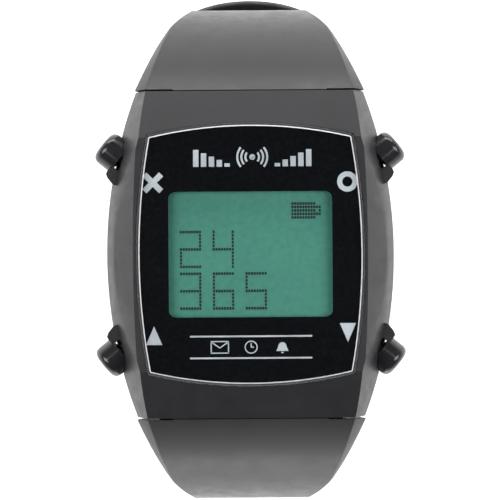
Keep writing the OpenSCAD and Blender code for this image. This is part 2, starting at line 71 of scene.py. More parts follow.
SLOT_COLOURS = {m["slot"]: m["base_color"] for m in frame["record"]["materials"]}
CORNERS = ("upper_left", "upper_right", "lower_left", "lower_right")

# Levels and places read from the frame, in metres
FRONT_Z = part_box("case_shell")[1].z
FLOOR_GAP = 0.05 * MM
FLOOR_Z = CAD_BOX[0][2] - FLOOR_GAP
DISPLAY_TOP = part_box("display_glass")[1].z
LUG_PIN = Vector(JOINTS["upper_band_swing"]["pos_m"])
BUCKLE_PIN = Vector(JOINTS["buckle_swing"]["pos_m"])

# Camera: straight down on the display, from where the front covers the view
CAMERA_DISTANCE = 407 * MM
CAMERA_LENS = 200
CAMERA_X = -0.07 * MM
CAMERA_Y = 0.63 * MM
CAMERA_ROLL = math.radians(-0.4)

# Studio: how high the bright horizon reaches, as the sine of its elevation, and how dim it is overhead
HORIZON_TOP = 0.06
HORIZON_COLOUR = (0.95, 0.95, 0.96)
OVERHEAD_START = 0.3
OVERHEAD_COLOUR = (0.02, 0.02, 0.025)
FLOOR_HALF = 1.2
FLOOR_GLOW = 0.75

# Strap path and section, as the strap's solids have them. An angle is the outer face's, from +Y.
PATH_CENTRE = Vector((5.7 * MM, -18.6 * MM))
PATH_RADIUS = 32.6 * MM
PATH_START = math.radians(55)
STRAIGHT_START = math.radians(-25)
STRAIGHT_LENGTH = 19.2 * MM
TAIL_RADIUS = 27 * MM
TAIL_LENGTH = 25 * MM
ROOT_HALF_WIDTH = 17.55 * MM
BAND_HALF_WIDTH = 9 * MM
BAND_THICKNESS = 2.7 * MM
ROOT_EXTRA = 3.8 * MM
ROOT_FADE = 9 * MM
TAPER_SLOPE = 0.345
TAPER_ROUNDING = 1 * MM
BEVEL_LENGTH = 16 * MM
BEVEL_AT_ROOT = 1.9 * MM
BEVEL_AT_BAND = 0.3 * MM
BEVEL_SLOPE = 0.9
INNER_CHAMFER = 0.5 * MM
INNER_ROUNDING = 0.22 * MM
FACE_ROUNDING = 0.3 * MM
TIP_LENGTH = 9 * MM
TIP_NARROWEST = 0.04
TONGUE_RADIUS = 3.4 * MM
TONGUE_HALF_WIDTH = 11.3 * MM
TONGUE_OVERLAP = 0.2 * MM
SHOULDER_Y = 24.52 * MM
SHOULDER_REACH = 10 * MM
SHOULDER_HEEL = 0.16 * MM
SHOULDER_FOOT_RISE = 3 * MM
PIN_RADIUS = 0.83 * MM
LUG_BORE_HALF = 11.6 * MM
PIN_BORE_HALF = 15 * MM
LUG_MIDDLE = 12.5 * MM
LUG_SLOT = 2.4 * MM
LUG_ROOM = 2.7 * MM
UPPER_ARC = PATH_RADIUS * (PATH_START - STRAIGHT_START)
LOWER_ARC = PATH_RADIUS * (PATH_START + math.pi / 2)
UPPER_LENGTH = UPPER_ARC + STRAIGHT_LENGTH
LOWER_LENGTH = LOWER_ARC + TAIL_LENGTH
BUCKLE_HALF_RINGS = 140
TIP_HALF_RINGS = 220
HOLE_RADIUS = 1.1 * MM
HOLE_SIDES = 32
HOLE_REACH = 6 * MM
HOLE_COUNT = 7
HOLE_SPACING = 6 * MM
HOLE_TO_TIP = 12 * MM
FIRST_HOLE = LOWER_LENGTH - HOLE_TO_TIP
FORK_HALF_WIDTH = 1.5 * MM
FORK_DEPTH = 6 * MM
FORK_PAST_END = 4 * MM
FORK_BELOW = 8 * MM
FORK_ABOVE = 4 * MM
FORK_ROUNDING = 0.2 * MM
EYE_RADIUS = 1.9 * MM
EYE_HALF_LENGTH = 8.8 * MM

# Keepers
KEEPER_WIDTH = 5 * MM
FIXED_KEEPER_AT = 47 * MM
FIXED_KEEPER_REACH = 12.2 * MM
FIXED_KEEPER_RISE = 6.3 * MM
FIXED_KEEPER_WALL = 0.9 * MM
FIXED_KEEPER_HALF_WIDTH = 11 * MM
FIXED_KEEPER_OPENING = 9.5 * MM
FIXED_KEEPER_FOOT = 2.2 * MM
FIXED_KEEPER_FOOT_INSET = 0.4 * MM
FIXED_KEEPER_ROUNDING = 0.25 * MM
FREE_KEEPER_AT = 55.3 * MM
FREE_KEEPER_RISE = 3.2 * MM
FREE_KEEPER_WALL = 1.1 * MM
FREE_KEEPER_GAP = 0.25 * MM
FREE_KEEPER_OUTER_ROUNDING = 1.2 * MM
FREE_KEEPER_INNER_ROUNDING = 0.2 * MM
FREE_KEEPER_EDGE = 0.3 * MM

# Button springs: where a button's outer end is, and distances inward along its axis
BUTTON_X = 21.9 * MM
BUTTON_Y = 16.5 * MM
BUTTON_Z = 4.9 * MM
SPRING_START = 1.71 * MM
SPRING_END = 4.09 * MM
SPRING_RADIUS = 1.13 * MM
SPRING_WIRE = 0.17 * MM
SPRING_TURNS = 4.5
SPRING_RINGS = 140
SPRING_SIDES = 12

# Widths of the softened edges on the CAD's own pieces
EDGE_WIDTHS = {"case_shell": 0.18 * MM, "buckle_frame": 0.25 * MM, "buckle_prong": 0.2 * MM}
CAP_EDGE_WIDTH = 0.1 * MM

# Width of the lens's bevel face, which carries a painted highlight along its top edge, and how far the lens's
# faces draw in
LENS_HIGHLIGHT_BEVEL = 0.1 * MM
LENS_GAP = 0.01 * MM

# Display dots
DOT_PITCH = Vector((0.402 * MM, 0.513 * MM))
DOT_FILL = 0.74
DOT_COLUMNS = 60
DOT_ROWS = 36
DOT_LIFT = 0.01 * MM
DOT_TOP = 0.05 * MM

# What the display shows, by the grid's columns and rows from its top left cell
BATTERY_CELL = (45, 3)
TEXT_ROWS = (("24", 11), ("365", 23))
TEXT_START = 4
TEXT_STEP = 12

# Middles of the printed signs and the width of their lines, in millimetres
SIGNAL_PLACE = (0.35, 14.3)
SMALL_SIGNS_X = (-4.6, 0, 4.6)
SMALL_SIGNS_Y = -13.65
SIGN_LINE = 0.16


# ---------------------------------------------------------------- meshes

def make_object(name, mesh):
    obj = bpy.data.objects.new(name, mesh)
    bpy.context.scene.collection.objects.link(obj)
    return obj


def object_from(name, points, faces):
    mesh = bpy.data.meshes.new(name)
    mesh.from_pydata([tuple(p) for p in points], [], faces)
    mesh.validate()
    return make_object(name, mesh)


def sweep(name, rings):
    """A closed solid through rings that all have the same number of points."""
    sides = len(rings[0])
    faces = []
    for low in range(0, (len(rings) - 1) * sides, sides):
        high = low + sides
        faces += [[low + j, low + (j + 1) % sides, high + (j + 1) % sides, high + j] for j in range(sides)]
    faces.append(list(range(sides))[::-1])
    faces.append([(len(rings) - 1) * sides + j for j in range(sides)])
    obj = object_from(name, [p for ring in rings for p in ring], faces)
    fix_normals(obj)
    return obj


def fix_normals(obj):
    bm = bmesh.new()
    bm.from_mesh(obj.data)
    bmesh.ops.recalc_face_normals(bm, faces=bm.faces)
    bm.to_mesh(obj.data)
    bm.free()


def prism(name, outline, start, end, place=Matrix.Identity(4)):
    """The flat outline [(x, y), ...] stretched from start to end along z, then placed."""
    rings = [[place @ Vector((x, y, z)) for x, y in outline] for z in (start, end)]
    return sweep(name, rings)


def cross_rod(name, radius, half_length, y, z, sides=64):
    circle = [(radius * math.cos(a), radius * math.sin(a)) for a in turns(sides)]
    return prism(name, circle, -half_length, half_length, Matrix.Translation((0, y, z)) @ ALONG_X)


def turns(count, start=0.0, sweep_angle=2 * math.pi, closed=True):
    steps = count if closed else count - 1
    return [start + sweep_angle * i / steps for i in range(count)]


# Turns z into x, so that an outline's x and y become the frame's y and z
ALONG_X = Matrix(((0, 0, 1, 0), (1, 0, 0, 0), (0, 1, 0, 0), (0, 0, 0, 1)))


def rounded(corners, radii, steps=5):
    """An outline through corners [(x, y), ...] with each corner turned into an arc of its own radius."""
    outline = []
    count = len(corners)
    for i, (corner, radius) in enumerate(zip(corners, radii)):
        here = Vector(corner)
        back = (Vector(corners[i - 1]) - here).normalized()
        on = (Vector(corners[(i + 1) % count]) - here).normalized()
        half = back.angle(on) / 2
        reach = radius / math.tan(half)
        centre = here + (back + on).normalized() * radius / math.sin(half)
        first, last = here + back * reach - centre, here + on * reach - centre
        span = first.angle_signed(last)
        for k in range(steps):
            turn = -span * k / (steps - 1)
            outline.append(centre + Matrix.Rotation(turn, 2) @ first)
    return outline


def combine(obj, tool, operation):
    """Applies a boolean to obj and removes the tool."""
    modifier = obj.modifiers.new("cut", "BOOLEAN")
    modifier.operation = operation
    modifier.solver = "EXACT"
    modifier.object = tool
    apply_modifiers(obj)
    bpy.data.objects.remove(tool)


def apply_modifiers(obj):
    bpy.context.view_layer.update()
    graph = bpy.context.evaluated_depsgraph_get()
    mesh = bpy.data.meshes.new_from_object(obj.evaluated_get(graph))
    obj.modifiers.clear()
    obj.data = mesh


def smooth_by_angle(obj, degrees=32):
    obj.data.polygons.foreach_set("use_smooth", [True] * len(obj.data.polygons))
    obj.data.set_sharp_from_angle(angle=math.radians(degrees))


def soften_cad(node, width, degrees=28, segments=3):
    """Merges a CAD node's flat triangles and rounds its sharp edges, by modifiers alone."""
    obj = frame["nodes"][node]
    weld = obj.modifiers.new("weld", "WELD")
    weld.merge_threshold = 0.001 * MM
    dissolve = obj.modifiers.new("flats", "DECIMATE")
    dissolve.decimate_type = "DISSOLVE"
    dissolve.angle_limit = math.radians(0.5)
    bevel = obj.modifiers.new("edges", "BEVEL")
    bevel.width = width
    bevel.segments = segments
    bevel.limit_method = "ANGLE"
    bevel.angle_limit = math.radians(degrees)
    bevel.harden_normals = False
    normals = obj.modifiers.new("normals", "WEIGHTED_NORMAL")
    normals.keep_sharp = True
    return obj


def soften_lens():
    """Bevels the lens's edges, where the lens material paints a highlight, and draws its faces in a little, to
    clear its underside from the print.
    """
    lens = soften_cad("lens", LENS_HIGHLIGHT_BEVEL, segments=1)
    lens.modifiers["edges"].use_clamp_overlap = False
    gap = lens.modifiers.new("gap", "DISPLACE")
    gap.strength = -LENS_GAP
    gap.mid_level = 0


# ---------------------------------------------------------------- materials

class Graph:
    """A material and short ways to add nodes to it."""

    def __init__(self, name):
        self.material = bpy.data.materials.new(name)
        self.material.use_nodes = True
        self.tree = self.material.node_tree
        self.tree.nodes.clear()
        self.output = self.tree.nodes.new("ShaderNodeOutputMaterial")
        self.place = self.tree.nodes.new("ShaderNodeTexCoord").outputs["Object"]

    def add(self, kind, links=None, **values):
        node = self.tree.nodes.new(kind)
        for key, value in values.items():
            setattr(node, key, value)
        for key, value in (links or {}).items():
            socket = node.inputs[key]
            if isinstance(value, bpy.types.NodeSocket):
                self.tree.links.new(value, socket)
            else:
                socket.default_value = value
        return node

    def noise(self, size, detail=3, roughness=0.5, place=None):
        """Noise whose features are about size metres across."""
        return self.add("ShaderNodeTexNoise", {"Vector": place or self.place, "Scale": 1 / size,
                                               "Detail": detail, "Roughness": roughness}).outputs["Fac"]

    def spread(self, value, low, high, from_low=0.3, from_high=0.7):
        return self.add("ShaderNodeMapRange", {"Value": value, "From Min": from_low, "From Max": from_high,
                                               "To Min": low, "To Max": high}).outputs["Result"]

    def colours(self, value, first, second, from_low=0.3, from_high=0.7):
        ramp = self.add("ShaderNodeValToRGB", {"Fac": value})
        ramp.color_ramp.elements[0].position = from_low
        ramp.color_ramp.elements[1].position = from_high
        ramp.color_ramp.elements[0].color = (*first[:3], 1)
        ramp.color_ramp.elements[1].color = (*second[:3], 1)
        return ramp.outputs["Color"]

    def bump(self, height, depth, strength=1.0, below=None):
        links = {"Height": height, "Distance": depth, "Strength": strength}
        if below is not None:
            links["Normal"] = below
        return self.add("ShaderNodeBump", links).outputs["Normal"]

    def principled(self, **values):
        links = {key.replace("_", " "): value for key, value in values.items()}
        shader = self.add("ShaderNodeBsdfPrincipled", links)
        self.tree.links.new(shader.outputs["BSDF"], self.output.inputs["Surface"])


# How much darker the resins' own colour is than they look with their sheen
RESIN_DEPTH = 0.28


def shade(colour, factor):
    return tuple(channel * factor for channel in colour[:3])


def resin(name, colour, roughness=0.46, grain=0.16 * MM, grain_depth=0.006 * MM):
    """Moulded resin: spark-eroded grain, faint cloudiness and light rub marks."""
    g = Graph(name)
    cloud = g.noise(9 * MM, 4)
    fine = g.noise(grain, 2, 0.6)
    rubs = g.noise(2.4 * MM, 6, 0.7)
    colour_mix = g.colours(cloud, shade(colour, 0.9), shade(colour, 1.12))
    rough = g.spread(rubs, roughness - 0.07, roughness + 0.08)
    coarse_bump = g.bump(cloud, 0.02 * MM, 0.25)
    normal = g.bump(fine, grain_depth, 0.6, coarse_bump)
    g.principled(Base_Color=colour_mix, Roughness=rough, Normal=normal, Specular_IOR_Level=0.5)
    return g.material


def gloss(name, colour, roughness=0.16):
    """Polished moulded plastic with faint swirls and waviness."""
    g = Graph(name)
    wave = g.noise(3 * MM, 2)
    swirls = g.noise(0.5 * MM, 5, 0.7)
    rough = g.spread(swirls, roughness - 0.05, roughness + 0.07)
    colour_mix = g.colours(wave, shade(colour, 0.85), shade(colour, 1.15))
    g.principled(Base_Color=colour_mix, Roughness=rough, Normal=g.bump(wave, 0.01 * MM, 0.3),
                 Coat_Weight=0.35, Coat_Roughness=0.06)
    return g.material


def metal(name, colour, roughness=0.3, grain=(0.06 * MM, 1.2 * MM, 1.2 * MM)):
    """Metal with fine directional brushing."""
    g = Graph(name)
    stretch = g.add("ShaderNodeMapping", {"Vector": g.place, "Scale": [1 / size for size in grain]})
    lines = g.noise(1, 3, 0.6, stretch.outputs["Vector"])
    stain = g.noise(2.5 * MM, 4)
    rough = g.spread(lines, roughness - 0.08, roughness + 0.12)
    colour_mix = g.colours(stain, shade(colour, 0.85), shade(colour, 1.08))
    normal = g.bump(lines, 0.003 * MM, 0.5)
    g.principled(Base_Color=colour_mix, Roughness=rough, Metallic=1.0, Normal=normal)
    return g.material


def soft(name, colour, roughness=0.7, grain=0.3 * MM):
    """Matte soft or unpolished stuff: rubber, foam, moulded epoxy, ferrite."""
    g = Graph(name)
    fine = g.noise(grain, 3, 0.6)
    cloud = g.noise(4 * MM, 3)
    colour_mix = g.colours(cloud, shade(colour, 0.82), shade(colour, 1.15))
    g.principled(Base_Color=colour_mix, Roughness=g.spread(fine, roughness - 0.1, roughness + 0.12),
                 Normal=g.bump(fine, 0.02 * MM, 0.5))
    return g.material


def board_lacquer(name, colour):
    """Green lacquer over a woven board with copper tracks showing through."""
    g = Graph(name)
    dark, light, track = ((*shade(colour, factor), 1) for factor in (0.9, 1.05, 1.7))
    tracks = g.add("ShaderNodeTexBrick", {"Vector": g.place, "Scale": 1 / (1.4 * MM), "Mortar Size": 0.08,
                                          "Color1": dark, "Color2": light, "Mortar": track})
    weave = g.noise(0.3 * MM, 2)
    g.principled(Base_Color=tracks.outputs["Color"], Roughness=g.spread(weave, 0.25, 0.4),
                 Normal=g.bump(tracks.outputs["Fac"], 0.02 * MM, 0.6))
    return g.material


# How upright the normals are where the painted highlight along the lens's bevel begins and ends
STEEPEST_HIGHLIGHT = (0.8, 0.84)
FLATTEST_HIGHLIGHT = (0.985, 0.992)


def clear_lens(name):
    """Clear cover that mirrors a little, with a painted highlight along the top edge of its bevel: a pale diffuse
    band, broken by noise, that stands in for the bright line a polished edge reflects.
    """
    g = Graph(name)
    facing = g.add("ShaderNodeNewGeometry").outputs["True Normal"]
    slant = g.add("ShaderNodeLayerWeight", {"Blend": 0.12, "Normal": facing}).outputs["Facing"]
    mirrored = g.spread(slant, 0.025, 0.5, 0.0, 1.0)
    smudge = g.spread(g.noise(3 * MM, 4, 0.6), 0.02, 0.05)
    mirror = g.add("ShaderNodeBsdfGlossy", {"Color": (1, 1, 1, 1), "Roughness": smudge, "Normal": facing})
    through = g.add("ShaderNodeBsdfTransparent", {"Color": (0.97, 0.985, 0.98, 1)})
    clear = g.add("ShaderNodeMixShader", {0: mirrored, 1: through.outputs[0], 2: mirror.outputs[0]})
    rise = g.add("ShaderNodeSeparateXYZ", {"Vector": facing}).outputs["Z"]
    above = g.spread(rise, 0.0, 1.0, *STEEPEST_HIGHLIGHT)
    below = g.spread(rise, 1.0, 0.0, *FLATTEST_HIGHLIGHT)
    # Painted highlight: a pale diffuse band on the slanted bevel faces, its strength broken by noise, stands in
    # for the edge's reflected light
    highlight_breakup = g.spread(g.noise(1.1 * MM, 3, 0.6), 0.8, 1.0, 0.35, 0.6)
    highlight_band = g.add("ShaderNodeMath", {0: above, 1: below}, operation="MULTIPLY").outputs[0]
    highlight_amount = g.add("ShaderNodeMath", {0: highlight_band, 1: highlight_breakup}, operation="MULTIPLY").outputs[0]
    painted_highlight = g.add("ShaderNodeBsdfDiffuse", {"Color": (0.97, 0.98, 0.99, 1)})
    mix = g.add("ShaderNodeMixShader", {0: highlight_amount, 1: clear.outputs[0], 2: painted_highlight.outputs[0]})
    g.tree.links.new(mix.outputs[0], g.output.inputs["Surface"])
    return g.material


def display_field(name, colour):
    """Reflective display: a green-grey field, faintly mottled, with broad faint changes of tone."""
    g = Graph(name)
    mottle = g.noise(0.8 * MM, 5, 0.7)
    broad = g.noise(14 * MM, 2)
    base = g.colours(mottle, shade(colour, 0.88), shade(colour, 1.1))
    tone = g.colours(broad, (0.9, 0.92, 0.94), (1.06, 1.04, 1.02))
    mixed = g.add("ShaderNodeMix", {"Factor": 1.0}, data_type="RGBA", blend_type="MULTIPLY")
    g.tree.links.new(base, mixed.inputs[6])
    g.tree.links.new(tone, mixed.inputs[7])
    g.principled(Base_Color=mixed.outputs[2], Roughness=g.spread(mottle, 0.42, 0.55),
                 Normal=g.bump(mottle, 0.004 * MM, 0.4))
    return g.material


def make_materials():
    c = SLOT_COLOURS
    strap_colour = shade(c["strap_resin"], RESIN_DEPTH)
    return {
        "case_resin": resin("case_resin", shade(c["case_resin"], RESIN_DEPTH), 0.4),
        "cover_resin": resin("cover_resin", c["cover_resin"], 0.5),
        "strap_resin": resin("strap_resin", strap_colour, 0.35, 0.2 * MM, 0.008 * MM),
        "lens_clear": clear_lens("lens_clear"),
        "mask_black": gloss("mask_black", shade(c["mask_black"], 0.45), 0.2),
        "print_pale": soft("print_pale", shade(c["print_pale"], 1.2), 0.55, 0.1 * MM),
        "display_field": display_field("display_field", shade(c["display_field"], 1.6)),
        "display_ink": soft("display_ink", c["display_ink"], 0.5, 0.1 * MM),
        "button_gloss": gloss("button_gloss", c["button_gloss"]),
        "steel_bright": metal("steel_bright", shade(c["steel_bright"], 0.5), 0.42),
        "steel_buckle": metal("steel_buckle", c["steel_buckle"], 0.34),
        "rubber_black": soft("rubber_black", c["rubber_black"]),
        "holder_white": soft("holder_white", c["holder_white"], 0.5),
        "elastomer_pink": soft("elastomer_pink", c["elastomer_pink"], 0.6, 0.2 * MM),
        "board_green": board_lacquer("board_green", c["board_green"]),
        "chip_black": soft("chip_black", c["chip_black"], 0.6, 0.15 * MM),
        "shield_tin": metal("shield_tin", c["shield_tin"], 0.35),
        "copper": metal("copper", c["copper"], 0.3, (0.1 * MM, 3 * MM, 3 * MM)),
        "cell_foil": metal("cell_foil", c["cell_foil"], 0.38, (0.5 * MM, 0.5 * MM, 0.5 * MM)),
        "foam_grey": soft("foam_grey", c["foam_grey"], 0.85, 0.4 * MM),
        "brass_gold": metal("brass_gold", c["brass_gold"], 0.28),
        "tungsten": metal("tungsten", c["tungsten"], 0.45, (0.2 * MM, 0.2 * MM, 0.2 * MM)),
    }


def dress(obj, slot):
    obj.data.materials.clear()
    obj.data.materials.append(MATERIALS[slot])


def dress_cad_nodes():
    for subpart in frame["record"]["subparts"]:
        obj = frame["nodes"][subpart["node"]]
        for place in obj.material_slots:
            place.link = "OBJECT"
            place.material = MATERIALS[subpart["material_slot"]]


# ---------------------------------------------------------------- strap

def face_angle(s, tight):
    if not tight:
        return max(PATH_START - s / PATH_RADIUS, STRAIGHT_START)
    if s <= LOWER_ARC:
        return PATH_START - s / PATH_RADIUS
    return -math.pi / 2 - (s - LOWER_ARC) / TAIL_RADIUS


def on_arc(angle, radius, rise=0.0):
    return PATH_CENTRE + Vector((radius * math.cos(angle), rise + radius * math.sin(angle)))


def outer_point(s, tight):
    """Where the strap's outer face is, s along it from the case, as (y, z)."""
    angle = face_angle(s, tight)
    if tight and s > LOWER_ARC:
        return on_arc(angle, TAIL_RADIUS, TAIL_RADIUS - PATH_RADIUS)
    if not tight and s > UPPER_ARC:
        run = s - UPPER_ARC
        return on_arc(angle, PATH_RADIUS) + run * Vector((math.sin(angle), -math.cos(angle)))
    return on_arc(angle, PATH_RADIUS)


def half_width(s, tight):
    line = ROOT_HALF_WIDTH - BAND_HALF_WIDTH - TAPER_SLOPE * s
    width = BAND_HALF_WIDTH + (line + math.hypot(line, TAPER_ROUNDING)) / 2
    into_tip = (s - LOWER_LENGTH + TIP_LENGTH) / TIP_LENGTH
    if tight and into_tip > 0:
        width *= math.sqrt(max(TIP_NARROWEST, 1 - into_tip ** 2))
    return width


def depth(s):
    return BAND_THICKNESS + ROOT_EXTRA * math.exp(-(s / ROOT_FADE) ** 2)


def strap_section(s, tight):
    """Outline across the strap: a flat face, sloping side bevels and soft inner edges; y is depth."""
    w, t = half_width(s, tight), depth(s)
    bevel = BEVEL_AT_BAND + BEVEL_AT_ROOT * max(0, 1 - s / BEVEL_LENGTH)
    fall = bevel * BEVEL_SLOPE
    edge = INNER_CHAMFER
    corners = [(bevel - w, 0), (-w, fall), (-w, t - edge), (edge - w, t),
               (w - edge, t), (w, t - edge), (w, fall), (w - bevel, 0)]
    crest = min(FACE_ROUNDING, bevel * 0.8)
    side = crest * 0.6
    return rounded(corners, [crest, side] + [INNER_ROUNDING] * 4 + [side, crest])


def strap_ring(s, tight):
    angle, p = face_angle(s, tight), outer_point(s, tight)
    return [Vector((x, p.x - d * math.cos(angle), p.y - d * math.sin(angle)))
            for x, d in strap_section(s, tight)]


def strap_place(s, tight):
    """Matrix of a frame on the strap's outer face: x across, y outward, z towards the case."""
    p = outer_point(s, tight)
    return Matrix.Translation((0, p.x, p.y)) @ Matrix.Rotation(face_angle(s, tight), 4, "X")


def shoulder_cut(name, side, heel):
    """What clears one shoulder from the end of the case; heel is how far its foot stays nearer the case."""
    y, far = SHOULDER_Y, SHOULDER_REACH
    outline = [(y - far, -far), (y - heel, -far), (y - heel, LUG_PIN.z),
               (y, LUG_PIN.z + SHOULDER_FOOT_RISE), (y, 2 * far), (y - far, 2 * far)]
    start = side * TONGUE_HALF_WIDTH
    return prism(name, outline, start, start + side * far, ALONG_X)


def strap_half(name, length, tight):
    steps = TIP_HALF_RINGS if tight else BUCKLE_HALF_RINGS
    strap = sweep(name, [strap_ring(length * i / steps, tight) for i in range(steps + 1)])
    tongue = cross_rod("tongue", TONGUE_RADIUS, TONGUE_HALF_WIDTH + TONGUE_OVERLAP, LUG_PIN.y, LUG_PIN.z)
    combine(strap, tongue, "UNION")
    for side in (-1, 1):
        combine(strap, shoulder_cut("shoulder", side, 0 if tight else SHOULDER_HEEL), "DIFFERENCE")
        place = Matrix.Translation((side * LUG_MIDDLE, 0, 0))
        slot = cross_rod("slot", LUG_ROOM, LUG_SLOT / 2, LUG_PIN.y, LUG_PIN.z)
        slot.data.transform(place)
        combine(strap, slot, "DIFFERENCE")
    combine(strap, cross_rod("bore", PIN_RADIUS, LUG_BORE_HALF, LUG_PIN.y, LUG_PIN.z), "DIFFERENCE")
    return strap


def arch(reach, rise, half, steps=48):
    """Arc of an ellipse from x = half over the top to x = -half."""
    start = math.acos(half / reach)
    return [(reach * math.cos(a), rise * math.sin(a))
            for a in turns(steps, start, math.pi - 2 * start, closed=False)]


def fixed_keeper(name):
    place = strap_place(FIXED_KEEPER_AT, False)
    w, opening, wall = FIXED_KEEPER_HALF_WIDTH, FIXED_KEEPER_OPENING, FIXED_KEEPER_WALL
    foot, low = BAND_HALF_WIDTH - FIXED_KEEPER_FOOT_INSET, -FIXED_KEEPER_FOOT
    outer = arch(FIXED_KEEPER_REACH, FIXED_KEEPER_RISE, w)
    inner = arch(FIXED_KEEPER_REACH - wall, FIXED_KEEPER_RISE - wall, opening)
    outline = outer + [(-w, 0), (-foot, low), (-foot, 0), (-opening, 0)] + inner[::-1]
    outline += [(opening, 0), (foot, 0), (foot, low), (w, 0)]
    keeper = prism(name, outline, -KEEPER_WIDTH / 2, KEEPER_WIDTH / 2, place)
    bevel_edges(keeper, FIXED_KEEPER_ROUNDING)
    return keeper


def bevel_edges(obj, width, segments=3, degrees=40):
    modifier = obj.modifiers.new("round", "BEVEL")
    modifier.width = width
    modifier.segments = segments
    modifier.limit_method = "ANGLE"
    modifier.angle_limit = math.radians(degrees)
    apply_modifiers(obj)


def buckle_half():
    strap = strap_half("strap_buckle_half", UPPER_LENGTH, False)
    combine(strap, cross_rod("eye", EYE_RADIUS, EYE_HALF_LENGTH, BUCKLE_PIN.y, BUCKLE_PIN.z), "UNION")
    combine(strap, fixed_keeper("arch"), "UNION")
    outline = rounded([(-FORK_HALF_WIDTH, -FORK_BELOW), (FORK_HALF_WIDTH, -FORK_BELOW),
                       (FORK_HALF_WIDTH, FORK_ABOVE), (-FORK_HALF_WIDTH, FORK_ABOVE)], [FORK_ROUNDING] * 4)
    fork = prism("fork", outline, -FORK_PAST_END, FORK_DEPTH, strap_place(UPPER_LENGTH, False))
    combine(strap, fork, "DIFFERENCE")
    combine(strap, cross_rod("bore", PIN_RADIUS, PIN_BORE_HALF, BUCKLE_PIN.y, BUCKLE_PIN.z), "DIFFERENCE")
    finish_strap(strap, "upper_band", "upper_strap")


def tip_half():
    strap = strap_half("strap_tip_half", LOWER_LENGTH, True)
    circle = [(HOLE_RADIUS * math.cos(a), HOLE_RADIUS * math.sin(a)) for a in turns(HOLE_SIDES)]
    for i in range(HOLE_COUNT):
        place = strap_place(FIRST_HOLE - i * HOLE_SPACING, True) @ Matrix.Rotation(math.pi / 2, 4, "X")
        combine(strap, prism("hole", circle, -HOLE_REACH / 2, HOLE_REACH, place), "DIFFERENCE")
    strap.data.transform(Matrix.Scale(-1, 4, (0, 1, 0)))
    strap.data.flip_normals()
    finish_strap(strap, "lower_band", "lower_strap")


def finish_strap(strap, body, node):
    smooth_by_angle(strap)
    dress(strap, "strap_resin")
    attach(strap, body)
    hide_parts(node)


def loose_keeper():
    wall, half = FREE_KEEPER_WALL, BAND_HALF_WIDTH + FREE_KEEPER_GAP
    low, high = -BAND_THICKNESS - FREE_KEEPER_GAP, FREE_KEEPER_RISE
    place = strap_place(FREE_KEEPER_AT, False)

    def box_outline(grow, radius):
        return rounded([(-half - grow, low - grow), (half + grow, low - grow),
                        (half + grow, high + grow), (-half - grow, high + grow)], [radius] * 4, 7)

    outer = box_outline(wall, FREE_KEEPER_OUTER_ROUNDING)
    inner = box_outline(0, FREE_KEEPER_INNER_ROUNDING)
    keeper = prism("loose_keeper", outer, -KEEPER_WIDTH / 2, KEEPER_WIDTH / 2, place)
    combine(keeper, prism("gap", inner, -KEEPER_WIDTH, KEEPER_WIDTH, place), "DIFFERENCE")
    bevel_edges(keeper, FREE_KEEPER_EDGE)
    smooth_by_angle(keeper)
    dress(keeper, "strap_resin")
    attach(keeper, "keeper")
    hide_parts("free_keeper")


def return_spring(corner):
    """A coil along its button's axis, towards the bottom of its pocket, fixed to the case."""
    press = JOINTS["press_" + corner]
    inward, up = Vector(press["axis"]), Vector((0, 0, 1))
    across = up.cross(inward)
    x = BUTTON_X if "right" in corner else -BUTTON_X
    y = BUTTON_Y if "upper" in corner else -BUTTON_Y
    head = Vector((x, y, BUTTON_Z))
    full_turn = 2 * math.pi * SPRING_TURNS
    rings = []
    for turn in turns(SPRING_RINGS, 0, full_turn, closed=False):
        along = SPRING_START + (SPRING_END - SPRING_START) * turn / full_turn
        out = across * math.cos(turn) + up * math.sin(turn)
        middle = head + inward * along + out * SPRING_RADIUS
        rings.append([middle + (out * math.cos(a) + inward * math.sin(a)) * SPRING_WIRE
                      for a in turns(SPRING_SIDES)])
    spring = sweep("return_spring_" + corner, rings)
    smooth_by_angle(spring, 60)
    dress(spring, "steel_bright")
    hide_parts("button_spring_" + corner)
    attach(spring, "case")
    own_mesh(spring)


# ---------------------------------------------------------------- display and print

# Which strokes of a seven-stroke figure each digit lights: top, upper left, upper right, middle,
# lower left, lower right, bottom
STROKES = {"2": "1011101", "3": "1011011", "4": "0111010", "5": "1101011", "6": "1101111"}
DIGIT_COLUMNS = 8
DIGIT_ROWS = 11


def digit_dots(digit, column, row):
    """Grid cells of one figure with one-dot strokes; column and row are its top left cell."""
    right, middle, bottom = DIGIT_COLUMNS - 1, DIGIT_ROWS // 2, DIGIT_ROWS - 1
    across = {0: 0, 3: middle, 6: bottom}
    upright = {1: (0, 0), 2: (right, 0), 4: (0, middle), 5: (right, middle)}
    cells = set()
    for stroke, lit in enumerate(STROKES[digit]):
        if lit == "0":
            continue
        if stroke in across:
            cells |= {(column + i, row + across[stroke]) for i in range(DIGIT_COLUMNS)}
        else:
            x, y = upright[stroke]
            cells |= {(column + x, row + y + i) for i in range(middle + 1)}
    return cells


def battery_dots(column, row):
    """A filled cell with a small open nub."""
    body = {(column + i, row + j) for i in range(9) for j in range(5)}
    nub = {(9, 1), (10, 1), (10, 2), (10, 3), (9, 3)}
    return body | {(column + i, row + j) for i, j in nub}


